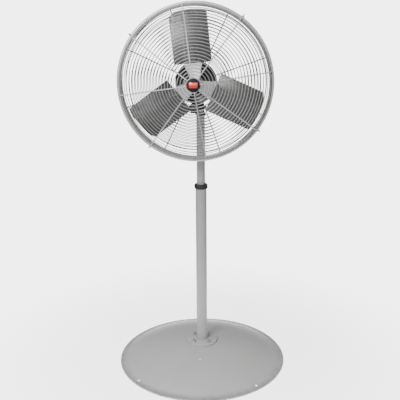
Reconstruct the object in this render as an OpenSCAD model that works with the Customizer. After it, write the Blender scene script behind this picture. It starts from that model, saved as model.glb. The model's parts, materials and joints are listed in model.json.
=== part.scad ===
// Pedestal fan: domed steel base, telescopic column, tilting motor head and wire guard.
// Origin on the floor at the column's axis, +Z up, the air leaves along -Y. Millimetres.

/* [Base] */
// Outer radius of the domed base
base_r = 397.5; // [330:0.5:480]
// Height of the flat seat in the middle of the dome
base_h = 85; // [70:1:105]
// Thickness of the base sheet
base_t = 2.5; // [2:0.1:4]
// Radius of the rolled bead round the base's edge
base_bead_r = 4; // [3:0.5:6]
// Radius of the circle of floor-bolt holes
floor_hole_pcr = 375; // [305:1:380]
// Radius of each floor-bolt hole
floor_hole_r = 4.5; // [3:0.5:6]
// Angle of the first floor-bolt hole from +X
floor_hole_turn = 43; // [0:1:89]

/* [Column] */
// Outer radius of the floor flange under the column
flange_r = 73; // [60:1:85]
// Thickness of the floor flange
flange_t = 10; // [6:1:14]
// Radius of the circle of the flange's bolts
flange_bolt_pcr = 53; // [46:1:56]
// Radius of the flange bolts
flange_bolt_r = 5; // [4:0.5:6]
// Outer radius of the lower column tube
lower_r = 25.4; // [22:0.1:30]
// Wall of both column tubes
tube_t = 1.6; // [1.2:0.1:2.5]
// Height of the lower column's top end above the floor
lower_top = 850; // [700:1:1050]
// Outer radius of the sliding upper column tube
upper_r = 19.05; // [15:0.05:20.5]
// Length of the upper column that stays inside the lower one as set
upper_in = 350; // [290:1:450]
// Length of the upper column that stands out of the lower one as set
upper_out = 330; // [310:1:400]
// Outer radius of the black clamp collar
collar_r = 30; // [28:0.5:36]
// Height of the clamp collar
collar_h = 22; // [18:1:30]

/* [Head] */
// Sideways distance of the fan's axis from the column's
axis_x = -14; // [-20:1:0]
// Thickness of the saddle between the tilting ears and the motor
saddle_t = 15; // [8:1:24]
// Half the outside width of the yoke
yoke_half = 30; // [26:1:36]
// Plate thickness of the yoke and of the motor bracket
ear_t = 5; // [4:0.5:7]
// Radius of the rounded ear ends round the tilt bolt
ear_r = 16; // [13:1:17]
// Radius of the tilt bolt
tilt_bolt_r = 5; // [4:0.5:6]

/* [Motor] */
// Outer radius of the motor shell
motor_r = 78; // [70:1:84]
// Half the length of the motor shell
motor_half = 52; // [45:1:60]
// Distance of the shell's middle behind the column's axis
motor_back = 8; // [0:1:15]
// Radius of the motor shaft
shaft_r = 7.94; // [6:0.01:10]
// Outer radius of the ball bearings
bearing_r = 17.5; // [15:0.5:20]
// Width of the ball bearings
bearing_w = 11; // [8:1:14]
// Outer radius of the stator core
stator_r = 68; // [60:1:69]
// Radius of the rotor
rotor_r = 42; // [36:0.5:48]
// Outer radius of the disc that carries the guard
plate_r = 90; // [84:1:98]

/* [Blades] */
// Room between the blade tips and the middle of the rim's bead
tip_room = 24.5; // [18:0.5:60]
// Width of a blade seen from the front
blade_w = 160; // [120:1:170]
// Pitch of the blades
blade_pitch = 21; // [15:1:23]
// Radius of the blades' hollow curve across the chord
camber_r = 330; // [300:5:600]
// Thickness of the blade sheet
blade_t = 1.8; // [1.2:0.1:2.5]
// Distance of the blades' middle plane in front of the column's axis
blade_front = 132; // [126:1:133]
// Angle of the first blade from +X
blade_turn = 96; // [0:0.5:119]

/* [Guard] */
// Outer radius of the guard's rim
rim_r = 325; // [262:0.5:390]
// Radius of the rolled beads along the rim's two edges
rim_bead_r = 7.5; // [5:0.5:8]
// Distance of the rim's front bead in front of the column's axis
rim_front = 153; // [151:1:160]
// Distance between the rim's two beads
rim_w = 34; // [30:1:36]
// Radius of the guard's ring wires
ring_wire_r = 1.8; // [1.2:0.1:2]
// Radius of the guard's spoke wires
spoke_wire_r = 2.6; // [2:0.1:3]
// Distance from one guard ring to the next
ring_pitch = 12.75; // [11:0.05:15]
// Width of the rounded shoulder between the front guard's cone and the rim
shoulder_w = 59.2; // [50:0.1:70]
// Distance of the badge's face in front of the column's axis
badge_front = 268; // [248:1:288]
// Radius of the round badge
badge_r = 27; // [20:0.5:28]
// Angle of the first front spoke from +X
front_spoke_turn = 8.5; // [0:0.5:44]
// Angle of the first rear spoke from +X
rear_spoke_turn = 19.2; // [0:0.1:44]
// Angle of the first rim clamp from +X
clamp_turn = 53.5; // [0:0.5:89]

/* [Hidden] */
$fn = 64;

eps = 0.05;
slip = 0.05;                               // radial running clearance of the fits
gap = 0.3;                                 // clearance between moving pieces
weld = 0.15;                               // sink of one welded wire into the next
rivet_room = 0.6;                          // room for the curved sheet under a rivet's head
rivet_head_h = 2.4;
base_land = 0.4;                           // flat ground off the underside of the base's bead
bead_z = base_bead_r - base_land;
dome_rise = base_h - bead_z;
dome_edge_r = base_r - base_bead_r;
seat_r = flange_r + 9;
// Sphere through the bead's middle and the seat's edge
dome_r = sqrt(pow((dome_edge_r * dome_edge_r - seat_r * seat_r - dome_rise * dome_rise)
    / (2 * dome_rise), 2) + dome_edge_r * dome_edge_r);
dome_z = bead_z - sqrt(dome_r * dome_r - dome_edge_r * dome_edge_r);
flange_top = base_h + flange_t;
spare_hole_y = -167;
upper_top = lower_top + upper_out;
upper_bottom = lower_top - upper_in;
washer_t = 2;
nut_h = 8;
bush_flange_t = 3;
bush_len = 50;
collar_skirt = 4;
yoke_base_t = 6;
yoke_base_z = upper_top + 8;
tilt_z = yoke_base_z + yoke_base_t + 2 + ear_r;
spigot_len = 50;
spigot_r = upper_r - tube_t - slip;
set_screw_z = upper_top - 22;
inner_half = yoke_half - ear_t - gap;      // outside half width of the motor bracket
bracket_bottom = tilt_z + ear_r + 4;
axis_z = bracket_bottom + saddle_t + motor_r;
bracket_screw_r = 2.9;
bracket_head_r = 5;
bracket_screw_y = ear_r + bracket_head_r + 1;
bracket_half_y = bracket_screw_y + bracket_head_r + 1;
shell_t = 1.5;
motor_front_y = motor_back - motor_half;
motor_rear_y = motor_back + motor_half;
bell_depth = 12;
boss_r = 60;
boss_depth = 10;
bell_front_y = motor_front_y - bell_depth;
boss_front_y = bell_front_y - boss_depth;
plate_t = 3;
plate_front_y = boss_front_y - plate_t;
bell_back_y = motor_rear_y + bell_depth;
through_r = 2.5;
through_pcr = (motor_r - shell_t + stator_r) / 2;
box_w = 92;
box_h = 70;
box_d = 46;
box_t = 2;
box_y = bell_back_y;
knob_r = 17;
switch_x = 18;
capacitor_x = -24;
hub_r = 24;
hub_front_y = -blade_front - 20;
hub_back_y = -blade_front + 22;
arm_end_r = 104;
arm_w = 74;
arm_t = 3;
arm_neck = 14;
arm_flare_x = 75;
arm_round_r = 70;
tip_round_r = 173;
blade_root_x = 82;
rivet_r = 3;
rim_back = rim_front - rim_w;
bead_R = rim_r - rim_bead_r;
tip_r = bead_R - tip_room;
cone_first_r = badge_r + 0.8;
cone_last_r = bead_R - shoulder_w;
cone_rings = round((cone_last_r - cone_first_r) / ring_pitch) + 1;
cone_pitch = (cone_last_r - cone_first_r) / (cone_rings - 1);
cone_front = badge_front - 6;
shoulder_front = rim_front + 32;           // front of the cone's last ring
shoulder_rings = 7;
wire_lift = ring_wire_r + spoke_wire_r - weld;
bend_room = 0.15;                          // how far a bent wire swells at a bend
centre_t = 2;
centre_front = cone_front - ring_wire_r + weld;
badge_cap_t = 3;
badge_label_t = 1;
rear_first_r = plate_r + 14;
rear_hub = -plate_front_y - plate_t - spoke_wire_r;
rear_knee_r = bead_R - 31.5;
rear_knee = rim_back - 29;
rear_last_r = bead_R - 8.5;
rear_last = rim_back - 9.5;
rear_rings = floor((rear_last_r - rear_first_r) / ring_pitch) + 1;
rear_pitch = (rear_last_r - rear_first_r) / (rear_rings - 1);
spoke_inner_r = boss_r + 8;

// ---- shared shapes ----

// Puts what follows on the fan's axis: local +Z points to the front, local Y is up
module on_axis() {
    translate([axis_x, 0, axis_z]) rotate([90, 0, 0]) children();
}

// A ring of round bar; `sides` is the number of flats on the bar
module ring(r, wire_r, front, sides = 24) {
    translate([0, 0, front]) rotate_extrude() translate([r, 0]) circle(wire_r, $fn = sides);
}

module hex(across, h) {
    cylinder(r = across / sqrt(3), h = h, $fn = 6);
}

module tube(r_out, r_in, h) {
    difference() {
        cylinder(r = r_out, h = h);
        translate([0, 0, -1]) cylinder(r = r_in, h = h + 2);
    }
}

// A round wire through points [r, front] in the plane of the fan's axis
module bent_wire(points, wire_r) {
    for (i = [0 : len(points) - 2]) {
        a = points[i];
        b = points[i + 1];
        run = b[0] - a[0];
        drop = b[1] - a[1];
        translate([a[0], 0, a[1]]) rotate([0, atan2(run, drop), 0])
            cylinder(r = wire_r, h = norm([run, drop]), $fn = 24);
        if (i > 0) translate([a[0], 0, a[1]]) rotate([0, 0, 90]) sphere(wire_r + bend_room, $fn = 24);
    }
}

module around(count, start = 0) {
    for (i = [0 : count - 1]) rotate([0, 0, start + i * 360 / count]) children();
}

// ---- base and column ----

module base_plate() color("silver") difference() {
    union() {
        intersection() {
            difference() {
                translate([0, 0, dome_z]) sphere(dome_r, $fn = 200);
                translate([0, 0, dome_z]) sphere(dome_r - base_t, $fn = 200);
            }
            translate([0, 0, bead_z]) cylinder(r = dome_edge_r + 1, h = dome_rise, $fn = 200);
        }
        translate([0, 0, base_h - base_t]) cylinder(r = seat_r, h = base_t);
        translate([0, 0, bead_z]) rotate_extrude($fn = 200)
            translate([dome_edge_r, 0]) circle(base_bead_r, $fn = 32);
    }
    translate([0, 0, -10]) cylinder(r = base_r + 10, h = 10);
    around(4, floor_hole_turn) translate([floor_hole_pcr, 0, -1]) cylinder(r = floor_hole_r, h = base_h);
    around(4, 45) translate([flange_bolt_pcr, 0, base_h - 20])
        cylinder(r = flange_bolt_r + gap, h = 40);
    translate([0, spare_hole_y, 0]) cylinder(r = 3, h = base_h + 10);
}

module column_flange() color("silver") {
    difference() {
        union() {
            translate([0, 0, base_h]) cylinder(r = flange_r, h = flange_t - 1);
            translate([0, 0, flange_top - 1]) cylinder(r1 = flange_r, r2 = flange_r - 1, h = 1);
            translate([0, 0, flange_top]) cylinder(r1 = lower_r + 4, r2 = lower_r + 1, h = 3);
        }
        translate([0, 0, base_h - 1]) cylinder(r = lower_r + slip, h = flange_t + 6);
        around(4, 45) translate([flange_bolt_pcr, 0, base_h - 1])
            cylinder(r = flange_bolt_r + gap, h = flange_t + 2);
    }
}

module flange_bolts() color("gainsboro") around(4, 45) translate([flange_bolt_pcr, 0, 0]) {
    translate([0, 0, flange_top + washer_t]) hex(flange_bolt_r * 3.2, flange_bolt_r * 1.3);
    translate([0, 0, base_h - base_t - washer_t - nut_h - 4])
        cylinder(r = flange_bolt_r, h = flange_t + base_t + 2 * washer_t + nut_h + 4);
}

module flange_washers() color("gainsboro") around(4, 45) translate([flange_bolt_pcr, 0, 0]) {
    translate([0, 0, flange_top]) tube(flange_bolt_r * 2, flange_bolt_r + gap, washer_t);
    translate([0, 0, base_h - base_t - washer_t])
        tube(flange_bolt_r * 2, flange_bolt_r + gap, washer_t);
}

module flange_nuts() color("gainsboro") around(4, 45)
    translate([flange_bolt_pcr, 0, base_h - base_t - washer_t - nut_h]) difference() {
        hex(flange_bolt_r * 3.2, nut_h);
        translate([0, 0, -1]) cylinder(r = flange_bolt_r, h = nut_h + 2);
    }

module lower_column() color("silver")
    translate([0, 0, base_h]) tube(lower_r, lower_r - tube_t, lower_top - base_h);

// Plastic guide in the top of the lower tube, split so that the collar can squeeze it
module column_bushing() color("dimgray") difference() {
    union() {
        translate([0, 0, lower_top - bush_len]) cylinder(r = lower_r - tube_t - slip, h = bush_len);
        translate([0, 0, lower_top]) cylinder(r = lower_r, h = bush_flange_t);
    }
    translate([0, 0, lower_top - bush_len - 1])
        cylinder(r = upper_r + slip, h = bush_len + bush_flange_t + 2);
    around(3, 30) translate([upper_r - 2, -1.5, lower_top - bush_len + 12])
        cube([lower_r, 3, bush_len]);
}

module clamp_collar() color("#1c1c1c") difference() {
    translate([0, 0, lower_top - collar_skirt]) union() {
        cylinder(r1 = collar_r - 2, r2 = collar_r, h = 2);
        translate([0, 0, 2]) cylinder(r = collar_r, h = collar_h - 5);
        translate([0, 0, collar_h - 3]) cylinder(r1 = collar_r, r2 = collar_r - 3, h = 3);
        around(24) translate([collar_r - 0.4, 0, 4]) cylinder(r = 1.2, h = collar_h - 9, $fn = 16);
    }
    translate([0, 0, lower_top - collar_skirt - 1])
        cylinder(r = lower_r + gap, h = collar_skirt + 1 + bush_flange_t + gap);
    translate([0, 0, lower_top]) cylinder(r = upper_r + gap, h = collar_h + 5);
}

module upper_column() color("silver") difference() {
    translate([0, 0, upper_bottom]) tube(upper_r, upper_r - tube_t, upper_top - upper_bottom);
    translate([0, 0, set_screw_z]) rotate([-90, 0, 0]) cylinder(r = 4, h = upper_r + 5);
    translate([0, -upper_r - 1, upper_bottom + 15]) rotate([-90, 0, 0])
        cylinder(r = 3, h = 2 * upper_r + 2);
}

// Guide plug pinned in the upper tube's lower end, running in the lower tube
module lower_guide() color("dimgray") {
    translate([0, 0, upper_bottom - 12]) cylinder(r = lower_r - tube_t - gap, h = 12);
    translate([0, 0, upper_bottom]) cylinder(r = upper_r - tube_t - slip, h = 28);
    translate([0, -upper_r + 0.4, upper_bottom + 15]) rotate([-90, 0, 0])
        cylinder(r = 2.9, h = 2 * upper_r - 0.8);
}

module swivel_set_screw() color("gainsboro") translate([0, 0, set_screw_z]) rotate([-90, 0, 0]) {
    translate([0, 0, spigot_r - 2 + gap]) cylinder(r = 4, h = upper_r - spigot_r + 8);
    translate([0, 0, upper_r + 1]) hex(11, 6);
}

// ---- yoke, tilt bolt and motor bracket ----

// A bracket ear in the YZ plane: round end on the tilt bolt, square root at height `root`
module ear(x, thick, root, bolt_hole_r) difference() {
    translate([x, 0, tilt_z]) rotate([0, 90, 0]) union() {
        cylinder(r = ear_r, h = thick);
        translate([min(0, tilt_z - root), -ear_r, 0]) cube([abs(tilt_z - root), 2 * ear_r, thick]);
    }
    translate([x - 1, 0, tilt_z]) rotate([0, 90, 0]) cylinder(r = bolt_hole_r, h = thick + 2);
}

module yoke() color("#1c1c1c") {
    difference() {
        union() {
            translate([0, 0, upper_top - spigot_len]) cylinder(r = spigot_r, h = spigot_len + 1);
            translate([0, 0, upper_top + gap]) cylinder(r = upper_r + 5, h = yoke_base_z - upper_top);
            translate([axis_x - yoke_half, -ear_r, yoke_base_z])
                cube([2 * yoke_half, 2 * ear_r, yoke_base_t]);
        }
        // Groove for the set screw's tip
        translate([0, 0, set_screw_z - 5]) tube(spigot_r + 1, spigot_r - 2, 10);
    }
    ear(axis_x - yoke_half, ear_t, yoke_base_z + yoke_base_t - eps, tilt_bolt_r + slip);
    ear(axis_x + yoke_half - ear_t, ear_t, yoke_base_z + yoke_base_t - eps, tilt_bolt_r + slip);
}

module tilt_bolt() color("gainsboro") translate([axis_x, 0, tilt_z]) rotate([0, 90, 0]) {
    translate([0, 0, -yoke_half - washer_t - 7]) hex(tilt_bolt_r * 3.2, 7);
    translate([0, 0, -yoke_half - washer_t]) cylinder(r = tilt_bolt_r, h = 2 * (yoke_half + washer_t) + nut_h + 4);
}

module tilt_nut() color("gainsboro") translate([axis_x + yoke_half + washer_t, 0, tilt_z])
    rotate([0, 90, 0]) difference() {
        hex(tilt_bolt_r * 3.2, nut_h);
        translate([0, 0, -1]) cylinder(r = tilt_bolt_r, h = nut_h + 2);
    }

module tilt_washers() color("gainsboro") for (x = [-yoke_half - washer_t, yoke_half])
    translate([axis_x + x, 0, tilt_z]) rotate([0, 90, 0])
        tube(tilt_bolt_r * 2, tilt_bolt_r + gap, washer_t);

module motor_bracket() color("#1c1c1c") {
    difference() {
        translate([axis_x - inner_half, -bracket_half_y, bracket_bottom])
            cube([2 * inner_half, 2 * bracket_half_y, axis_z - motor_r + 8 - bracket_bottom]);
        on_axis() translate([0, 0, -200]) cylinder(r = motor_r, h = 400);
        bracket_screw_places() translate([0, 0, -1]) cylinder(r = bracket_screw_r + gap, h = 40);
    }
    // One solid lug between the yoke's ears
    ear(axis_x - inner_half, 2 * inner_half, bracket_bottom + eps, tilt_bolt_r + slip);
}

module bracket_screw_places() for (y = [-bracket_screw_y, bracket_screw_y])
    translate([axis_x, y, bracket_bottom]) children();

module bracket_screws() color("gainsboro") bracket_screw_places() {
    translate([0, 0, -4]) cylinder(r = bracket_head_r, h = 4);
    cylinder(r = bracket_screw_r, h = axis_z - motor_r + shell_t + 3 - bracket_bottom);
}

// ---- motor ----

module motor_shell() color("#262626") difference() {
    on_axis() translate([0, 0, -motor_rear_y]) tube(motor_r, motor_r - shell_t, 2 * motor_half);
    bracket_screw_places() cylinder(r = bracket_screw_r + gap, h = 60);
}

// End bell: cap of radius motor_r with a bearing seat; `inner` points into the motor
module bell(bore_r) difference() {
    union() {
        cylinder(r = motor_r, h = bell_depth - 3);
        translate([0, 0, bell_depth - 3]) cylinder(r1 = motor_r, r2 = motor_r - 3, h = 3);
        translate([0, 0, bell_depth - eps]) cylinder(r = boss_r, h = boss_depth + eps);
    }
    translate([0, 0, -1]) cylinder(r = motor_r - 4, h = bell_depth - 3);
    translate([0, 0, bell_depth - 5]) cylinder(r = bearing_r, h = bearing_w + 1);
    translate([0, 0, -1]) cylinder(r = bore_r, h = bell_depth + boss_depth + 2);
    around(4, 45) translate([through_pcr, 0, -1]) cylinder(r = through_r + gap, h = bell_depth + 2);
    around(4) translate([boss_r - 12, 0, bell_depth]) cylinder(r = 2.5, h = boss_depth + 1);
}

module front_bell() color("#262626") on_axis() translate([0, 0, -motor_front_y]) bell(shaft_r + 2);

module rear_bell() color("#262626") on_axis() translate([0, 0, -motor_rear_y]) mirror([0, 0, 1])
    bell(shaft_r + 2);

module through_bolts() color("gainsboro") on_axis() around(4, 45) translate([through_pcr, 0, 0]) {
    translate([0, 0, -bell_back_y - 3]) cylinder(r = 4.5, h = 3);
    translate([0, 0, -bell_back_y]) cylinder(r = through_r, h = bell_back_y - bell_front_y + 5);
    translate([0, 0, -bell_front_y]) hex(8, 3.5);
}

module stator_core() color("#5b5b5e") on_axis() translate([0, 0, -motor_back - 32])
    tube(stator_r, rotor_r + 0.5, 56);

module stator_windings() color("#b06a30") on_axis() for (z = [-motor_back - 46, -motor_back + 24])
    translate([0, 0, z]) tube(stator_r - 4, rotor_r + 4, 14);

module bearing(front) on_axis() translate([0, 0, front]) difference() {
    cylinder(r = bearing_r, h = bearing_w);
    translate([0, 0, -1]) cylinder(r = shaft_r + slip, h = bearing_w + 2);
}

module front_bearing() color("lightgray") bearing(-motor_front_y + bell_depth - 5);

module rear_bearing() color("lightgray") bearing(-motor_rear_y - bell_depth + 5 - bearing_w);

module rotor() color("#6f7073") on_axis() translate([0, 0, -motor_back - 32])
    tube(rotor_r, shaft_r, 56);

module motor_shaft() color("lightgray") on_axis()
    translate([0, 0, -bell_back_y - 2]) cylinder(r = shaft_r, h = bell_back_y + 2 - hub_front_y + 3);

module guard_plate() color("#1c1c1c") on_axis() translate([0, 0, -plate_front_y - plate_t])
    difference() {
        union() {
            cylinder(r = plate_r, h = plate_t);
            translate([0, 0, plate_t - 1]) tube(plate_r, plate_r - 3, 4);
        }
        translate([0, 0, -1]) cylinder(r = bearing_r + 4, h = plate_t + 2);
        around(4) translate([boss_r - 12, 0, -1]) cylinder(r = 2.8, h = plate_t + 2);
    }

module guard_plate_screws() color("gainsboro") on_axis() around(4) translate([boss_r - 12, 0, 0]) {
    translate([0, 0, -plate_front_y]) cylinder(r1 = 5, r2 = 3.5, h = 3);
    translate([0, 0, -plate_front_y - plate_t - 8]) cylinder(r = 2.5, h = plate_t + 8);
}

// ---- switch box behind the motor ----

module switch_box() color("#262626") difference() {
    translate([axis_x - box_w / 2, box_y + boss_depth, axis_z - box_h / 2])
        cube([box_w, box_d, box_h]);
    translate([axis_x - box_w / 2 + box_t, box_y + boss_depth + box_t, axis_z - box_h / 2 + box_t])
        cube([box_w - 2 * box_t, box_d, box_h - 2 * box_t]);
    translate([axis_x, box_y, axis_z - box_h / 2 - 1]) translate([0, boss_depth + box_d / 2, 0])
        cylinder(r = 8.2, h = box_t + 2);
    on_axis() translate([0, 0, -box_y - boss_depth - box_t - 1]) cylinder(r = shaft_r + 3, h = box_t + 2);
}

module cover_screw_places() for (x = [-1, 1], z = [-1, 1])
    translate([axis_x + x * (box_w / 2 - 7), box_y + boss_depth + box_d, axis_z + z * (box_h / 2 - 7)])
        rotate([-90, 0, 0]) children();

module switch_box_cover() color("#262626") difference() {
    translate([axis_x - box_w / 2, box_y + boss_depth + box_d, axis_z - box_h / 2])
        cube([box_w, box_t, box_h]);
    cover_screw_places() translate([0, 0, -1]) cylinder(r = 2, h = box_t + 2);
    translate([axis_x + switch_x, box_y + boss_depth + box_d - 1, axis_z]) rotate([-90, 0, 0])
        cylinder(r = 5.2, h = box_t + 2);
}

module cover_screws() color("gainsboro") cover_screw_places() {
    translate([0, 0, box_t]) cylinder(r1 = 3.8, r2 = 2.6, h = 2);
    translate([0, 0, -8]) cylinder(r = 1.9, h = box_t + 8);
}

module capacitor() color("#d8d8d2") translate([axis_x + capacitor_x, box_y + boss_depth + box_t + 19,
    axis_z - 26]) cylinder(r = 16, h = 52);

module speed_switch() color("#3a3a3a") translate([axis_x + switch_x, 0, axis_z]) {
    translate([-15, box_y + boss_depth + box_d - 26, -15]) cube([30, 26, 30]);
    translate([0, box_y + boss_depth + box_d - eps, 0]) rotate([-90, 0, 0])
        tube(5, 3 + slip, box_t + 1.5);
}

// Turning knob with a pointer rib and the switch's shaft
module speed_knob() color("#1c1c1c") translate([axis_x + switch_x,
    box_y + boss_depth + box_d + box_t + 2, axis_z]) rotate([-90, 0, 0]) {
    cylinder(r1 = knob_r, r2 = knob_r - 2, h = 12);
    translate([-2.5, -knob_r + 2, 11]) cube([5, 2 * knob_r - 4, 7]);
    translate([0, 0, -box_t - 1.5]) cylinder(r = 3, h = box_t + 2.5);
}

module cord_gland() color("#1c1c1c") translate([axis_x, box_y + boss_depth + box_d / 2,
    axis_z - box_h / 2]) difference() {
    union() {
        translate([0, 0, -4]) hex(20, 4);
        translate([0, 0, -16]) cylinder(r1 = 6, r2 = 8.5, h = 12);
        translate([0, 0, 0]) cylinder(r = 8, h = box_t + 4);
        translate([0, 0, box_t]) hex(19, 3.5);
    }
    translate([0, 0, -17]) cylinder(r = 4, h = 30);
}

// ---- fan ----

module in_blade_frame(i) on_axis() translate([0, 0, blade_front])
    rotate([0, 0, blade_turn + i * 120]) children();

// Sheet pitched about the blade's radius, hollow to the front; `lift` raises it off the blade's back
module pitched_sheet(length, thick, lift) rotate([-blade_pitch, 0, 0]) rotate([90, 0, 90])
    linear_extrude(length) translate([0, camber_r]) difference() {
        circle(camber_r - lift, $fn = 256);
        circle(camber_r - lift - thick, $fn = 256);
        translate([-2 * camber_r, -0.8 * camber_r]) square([4 * camber_r, 2 * camber_r]);
    }

module blade_outline() intersection() {
    translate([blade_root_x, -blade_w / 2]) square([tip_r, blade_w]);
    circle(tip_r, $fn = 256);
    translate([tip_r + 3 - tip_round_r, 0]) circle(tip_round_r, $fn = 128);
}

module blade(i) color("#a9abad") in_blade_frame(i) difference() {
    intersection() {
        pitched_sheet(tip_r + 5, blade_t, 0);
        translate([0, 0, -80]) linear_extrude(160) blade_outline();
    }
    rivet_places() translate([0, 0, -10]) cylinder(r = rivet_r + 0.1, h = 30);
}

module rivet_places() rotate([-blade_pitch, 0, 0])
    for (p = [[90, -28], [90, 28], [97, -9], [97, 9]])
        translate([p[0], p[1], camber_r - sqrt(camber_r * camber_r - p[1] * p[1])]) children();

module blade_1() blade(0);
module blade_2() blade(1);
module blade_3() blade(2);

// Cast hub with three pitched arms that lie against the back of the blades
module hub_spider() color("#c9cbcc") difference() {
    union() {
        on_axis() translate([0, 0, -hub_back_y]) cylinder(r = hub_r, h = hub_back_y - hub_front_y);
        for (i = [0 : 2]) in_blade_frame(i) intersection() {
            pitched_sheet(arm_end_r + 10, arm_t, -arm_t - eps);
            translate([0, 0, -60]) linear_extrude(120) intersection() {
                polygon([[0, -arm_neck], [arm_flare_x, -arm_w / 2], [arm_end_r, -arm_w / 2],
                    [arm_end_r, arm_w / 2], [arm_flare_x, arm_w / 2], [0, arm_neck]]);
                translate([arm_end_r - arm_round_r, 0]) circle(arm_round_r, $fn = 96);
            }
        }
    }
    on_axis() cylinder(r = shaft_r, h = 400);
    for (i = [0 : 2]) in_blade_frame(i) rivet_places() translate([0, 0, -10])
        cylinder(r = rivet_r + 0.1, h = 30);
    hub_screw_place() cylinder(r = 3, h = hub_r);
}

module hub_screw_place() on_axis() translate([0, 0, -hub_back_y + 8]) rotate([0, 90, 37])
    translate([0, 0, shaft_r]) children();

module hub_set_screw() color("gainsboro") hub_screw_place() cylinder(r = 3, h = hub_r - shaft_r + 2);

module blade_rivets() color("gainsboro") for (i = [0 : 2]) in_blade_frame(i) rivet_places() {
    translate([0, 0, -arm_t - 1.5]) cylinder(r = rivet_r, h = blade_t + arm_t + 3);
    translate([0, 0, -arm_t - rivet_room - rivet_head_h]) cylinder(r1 = 3, r2 = 5.5, h = rivet_head_h);
    translate([0, 0, blade_t + rivet_room]) cylinder(r1 = 5.5, r2 = 3, h = rivet_head_h);
}

// ---- guard ----

function cone_at(r) = cone_front - (r - cone_first_r) * (cone_front - shoulder_front)
    / (cone_last_r - cone_first_r);
// Shoulder rings run on a quarter-ellipse from the cone's last ring to the rim
function shoulder_at(k) = let (a = 90 * k / (shoulder_rings + 1))
    [cone_last_r + (bead_R - cone_last_r - 4) * sin(a),
     rim_front + 7 + (shoulder_front - rim_front - 7) * cos(a)];
// The rear guard is two straight cones that meet at the knee
function rear_at(r) = r < rear_knee_r
    ? rear_hub + wire_lift + (rear_knee - rear_hub - wire_lift) * (r - plate_r) / (rear_knee_r - plate_r)
    : rear_knee + (rear_last - rear_knee) * (r - rear_knee_r) / (rear_last_r - rear_knee_r);

module front_guard_rings() color("#b9bbbd") on_axis() {
    for (k = [0 : cone_rings - 1]) let (r = cone_first_r + k * cone_pitch)
        ring(r, ring_wire_r, cone_at(r), 8);
    for (k = [1 : shoulder_rings]) let (p = shoulder_at(k)) ring(p[0], ring_wire_r, p[1], 8);
}

module front_guard_spokes() color("#c4c6c8") on_axis() around(8, front_spoke_turn)
    bent_wire(concat([[badge_r + gap, cone_at(badge_r + gap) + wire_lift]],
        [for (k = [0, 2, 4, 6]) let (p = shoulder_at(k), a = 90 * k / (shoulder_rings + 1))
            [p[0] + wire_lift * sin(a), p[1] + wire_lift * cos(a)]],
        [[bead_R, rim_front + rim_bead_r + spoke_wire_r - weld]]), spoke_wire_r);

module rear_guard_rings() color("#a2a4a6") on_axis()
    for (k = [0 : rear_rings - 1]) let (r = rear_first_r + k * rear_pitch)
        ring(r, ring_wire_r, rear_at(r), 8);

module rear_guard_spokes() color("#8f9193") on_axis() around(8, rear_spoke_turn)
    bent_wire(concat([[spoke_inner_r, rear_hub]],
        [for (r = [plate_r, rear_knee_r, rear_last_r]) [r, rear_at(r) - wire_lift]],
        [[bead_R, rim_back - rim_bead_r - spoke_wire_r + weld]]), spoke_wire_r);

module rim_band() color("#b9bbbd") on_axis() {
    ring(bead_R, rim_bead_r, rim_front);
    ring(bead_R, rim_bead_r, rim_back);
    difference() {
        translate([0, 0, rim_back]) tube(rim_r - 1.5, rim_r - 3.5, rim_w);
        around(4, clamp_turn) clamp_place() translate([0, 0, rim_r - 10]) cylinder(r = 2.6, h = 20);
    }
}

// Local +Z runs outwards through the middle of the rim
module clamp_place() translate([0, 0, rim_front - rim_w / 2]) rotate([0, 90, 0]) children();

module rim_clamps() color("#8f9193") on_axis() around(4, clamp_turn) clamp_place() difference() {
    translate([8 - rim_w / 2, -9, rim_r - 1.5]) cube([rim_w - 16, 18, 3]);
    translate([0, 0, rim_r - 5]) cylinder(r = 2.6, h = 20);
}

module clamp_screws() color("gainsboro") on_axis() around(4, clamp_turn) clamp_place() {
    translate([0, 0, rim_r - 6.5]) cylinder(r = 4.5, h = 3);
    translate([0, 0, rim_r - 4]) cylinder(r = 2.5, h = 17);
}

module clamp_nuts() color("gainsboro") on_axis() around(4, clamp_turn) clamp_place()
    translate([0, 0, rim_r + 1.5]) difference() {
        hex(9, 5);
        translate([0, 0, -1]) cylinder(r = 2.5, h = 8);
    }

module centre_plate() color("#c4c6c8") on_axis()
    translate([0, 0, centre_front - centre_t]) cylinder(r = badge_r + 4, h = centre_t);

// Black cap that clips through the first ring onto the centre plate
module badge_disc() color("#141414") on_axis() {
    translate([0, 0, centre_front]) cylinder(r = cone_first_r - ring_wire_r - gap,
        h = badge_front - badge_label_t - badge_cap_t - centre_front + eps);
    translate([0, 0, badge_front - badge_label_t - badge_cap_t])
        cylinder(r1 = badge_r, r2 = badge_r - 1, h = badge_cap_t);
}

module badge_plate() color("#c5281c") on_axis()
    translate([-17, -10.75, badge_front - badge_label_t]) cube([34, 21.5, badge_label_t]);

base_plate();
column_flange();
flange_bolts();
flange_washers();
flange_nuts();
lower_column();
column_bushing();
clamp_collar();
upper_column();
lower_guide();
swivel_set_screw();
yoke();
tilt_bolt();
tilt_nut();
tilt_washers();
motor_bracket();
bracket_screws();
motor_shell();
front_bell();
rear_bell();
through_bolts();
stator_core();
stator_windings();
front_bearing();
rear_bearing();
rotor();
motor_shaft();
guard_plate();
guard_plate_screws();
switch_box();
switch_box_cover();
cover_screws();
capacitor();
speed_switch();
speed_knob();
cord_gland();
hub_spider();
hub_set_screw();
blade_1();
blade_2();
blade_3();
blade_rivets();
rear_guard_rings();
rear_guard_spokes();
rim_band();
rim_clamps();
clamp_screws();
clamp_nuts();
front_guard_rings();
front_guard_spokes();
centre_plate();
badge_disc();
badge_plate();
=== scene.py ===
"""Looks of the pedestal fan: domed steel base, telescopic column, motor head and wire guard."""

import json
import math

import bmesh
import bpy
from mathutils import Matrix, Vector

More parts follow.
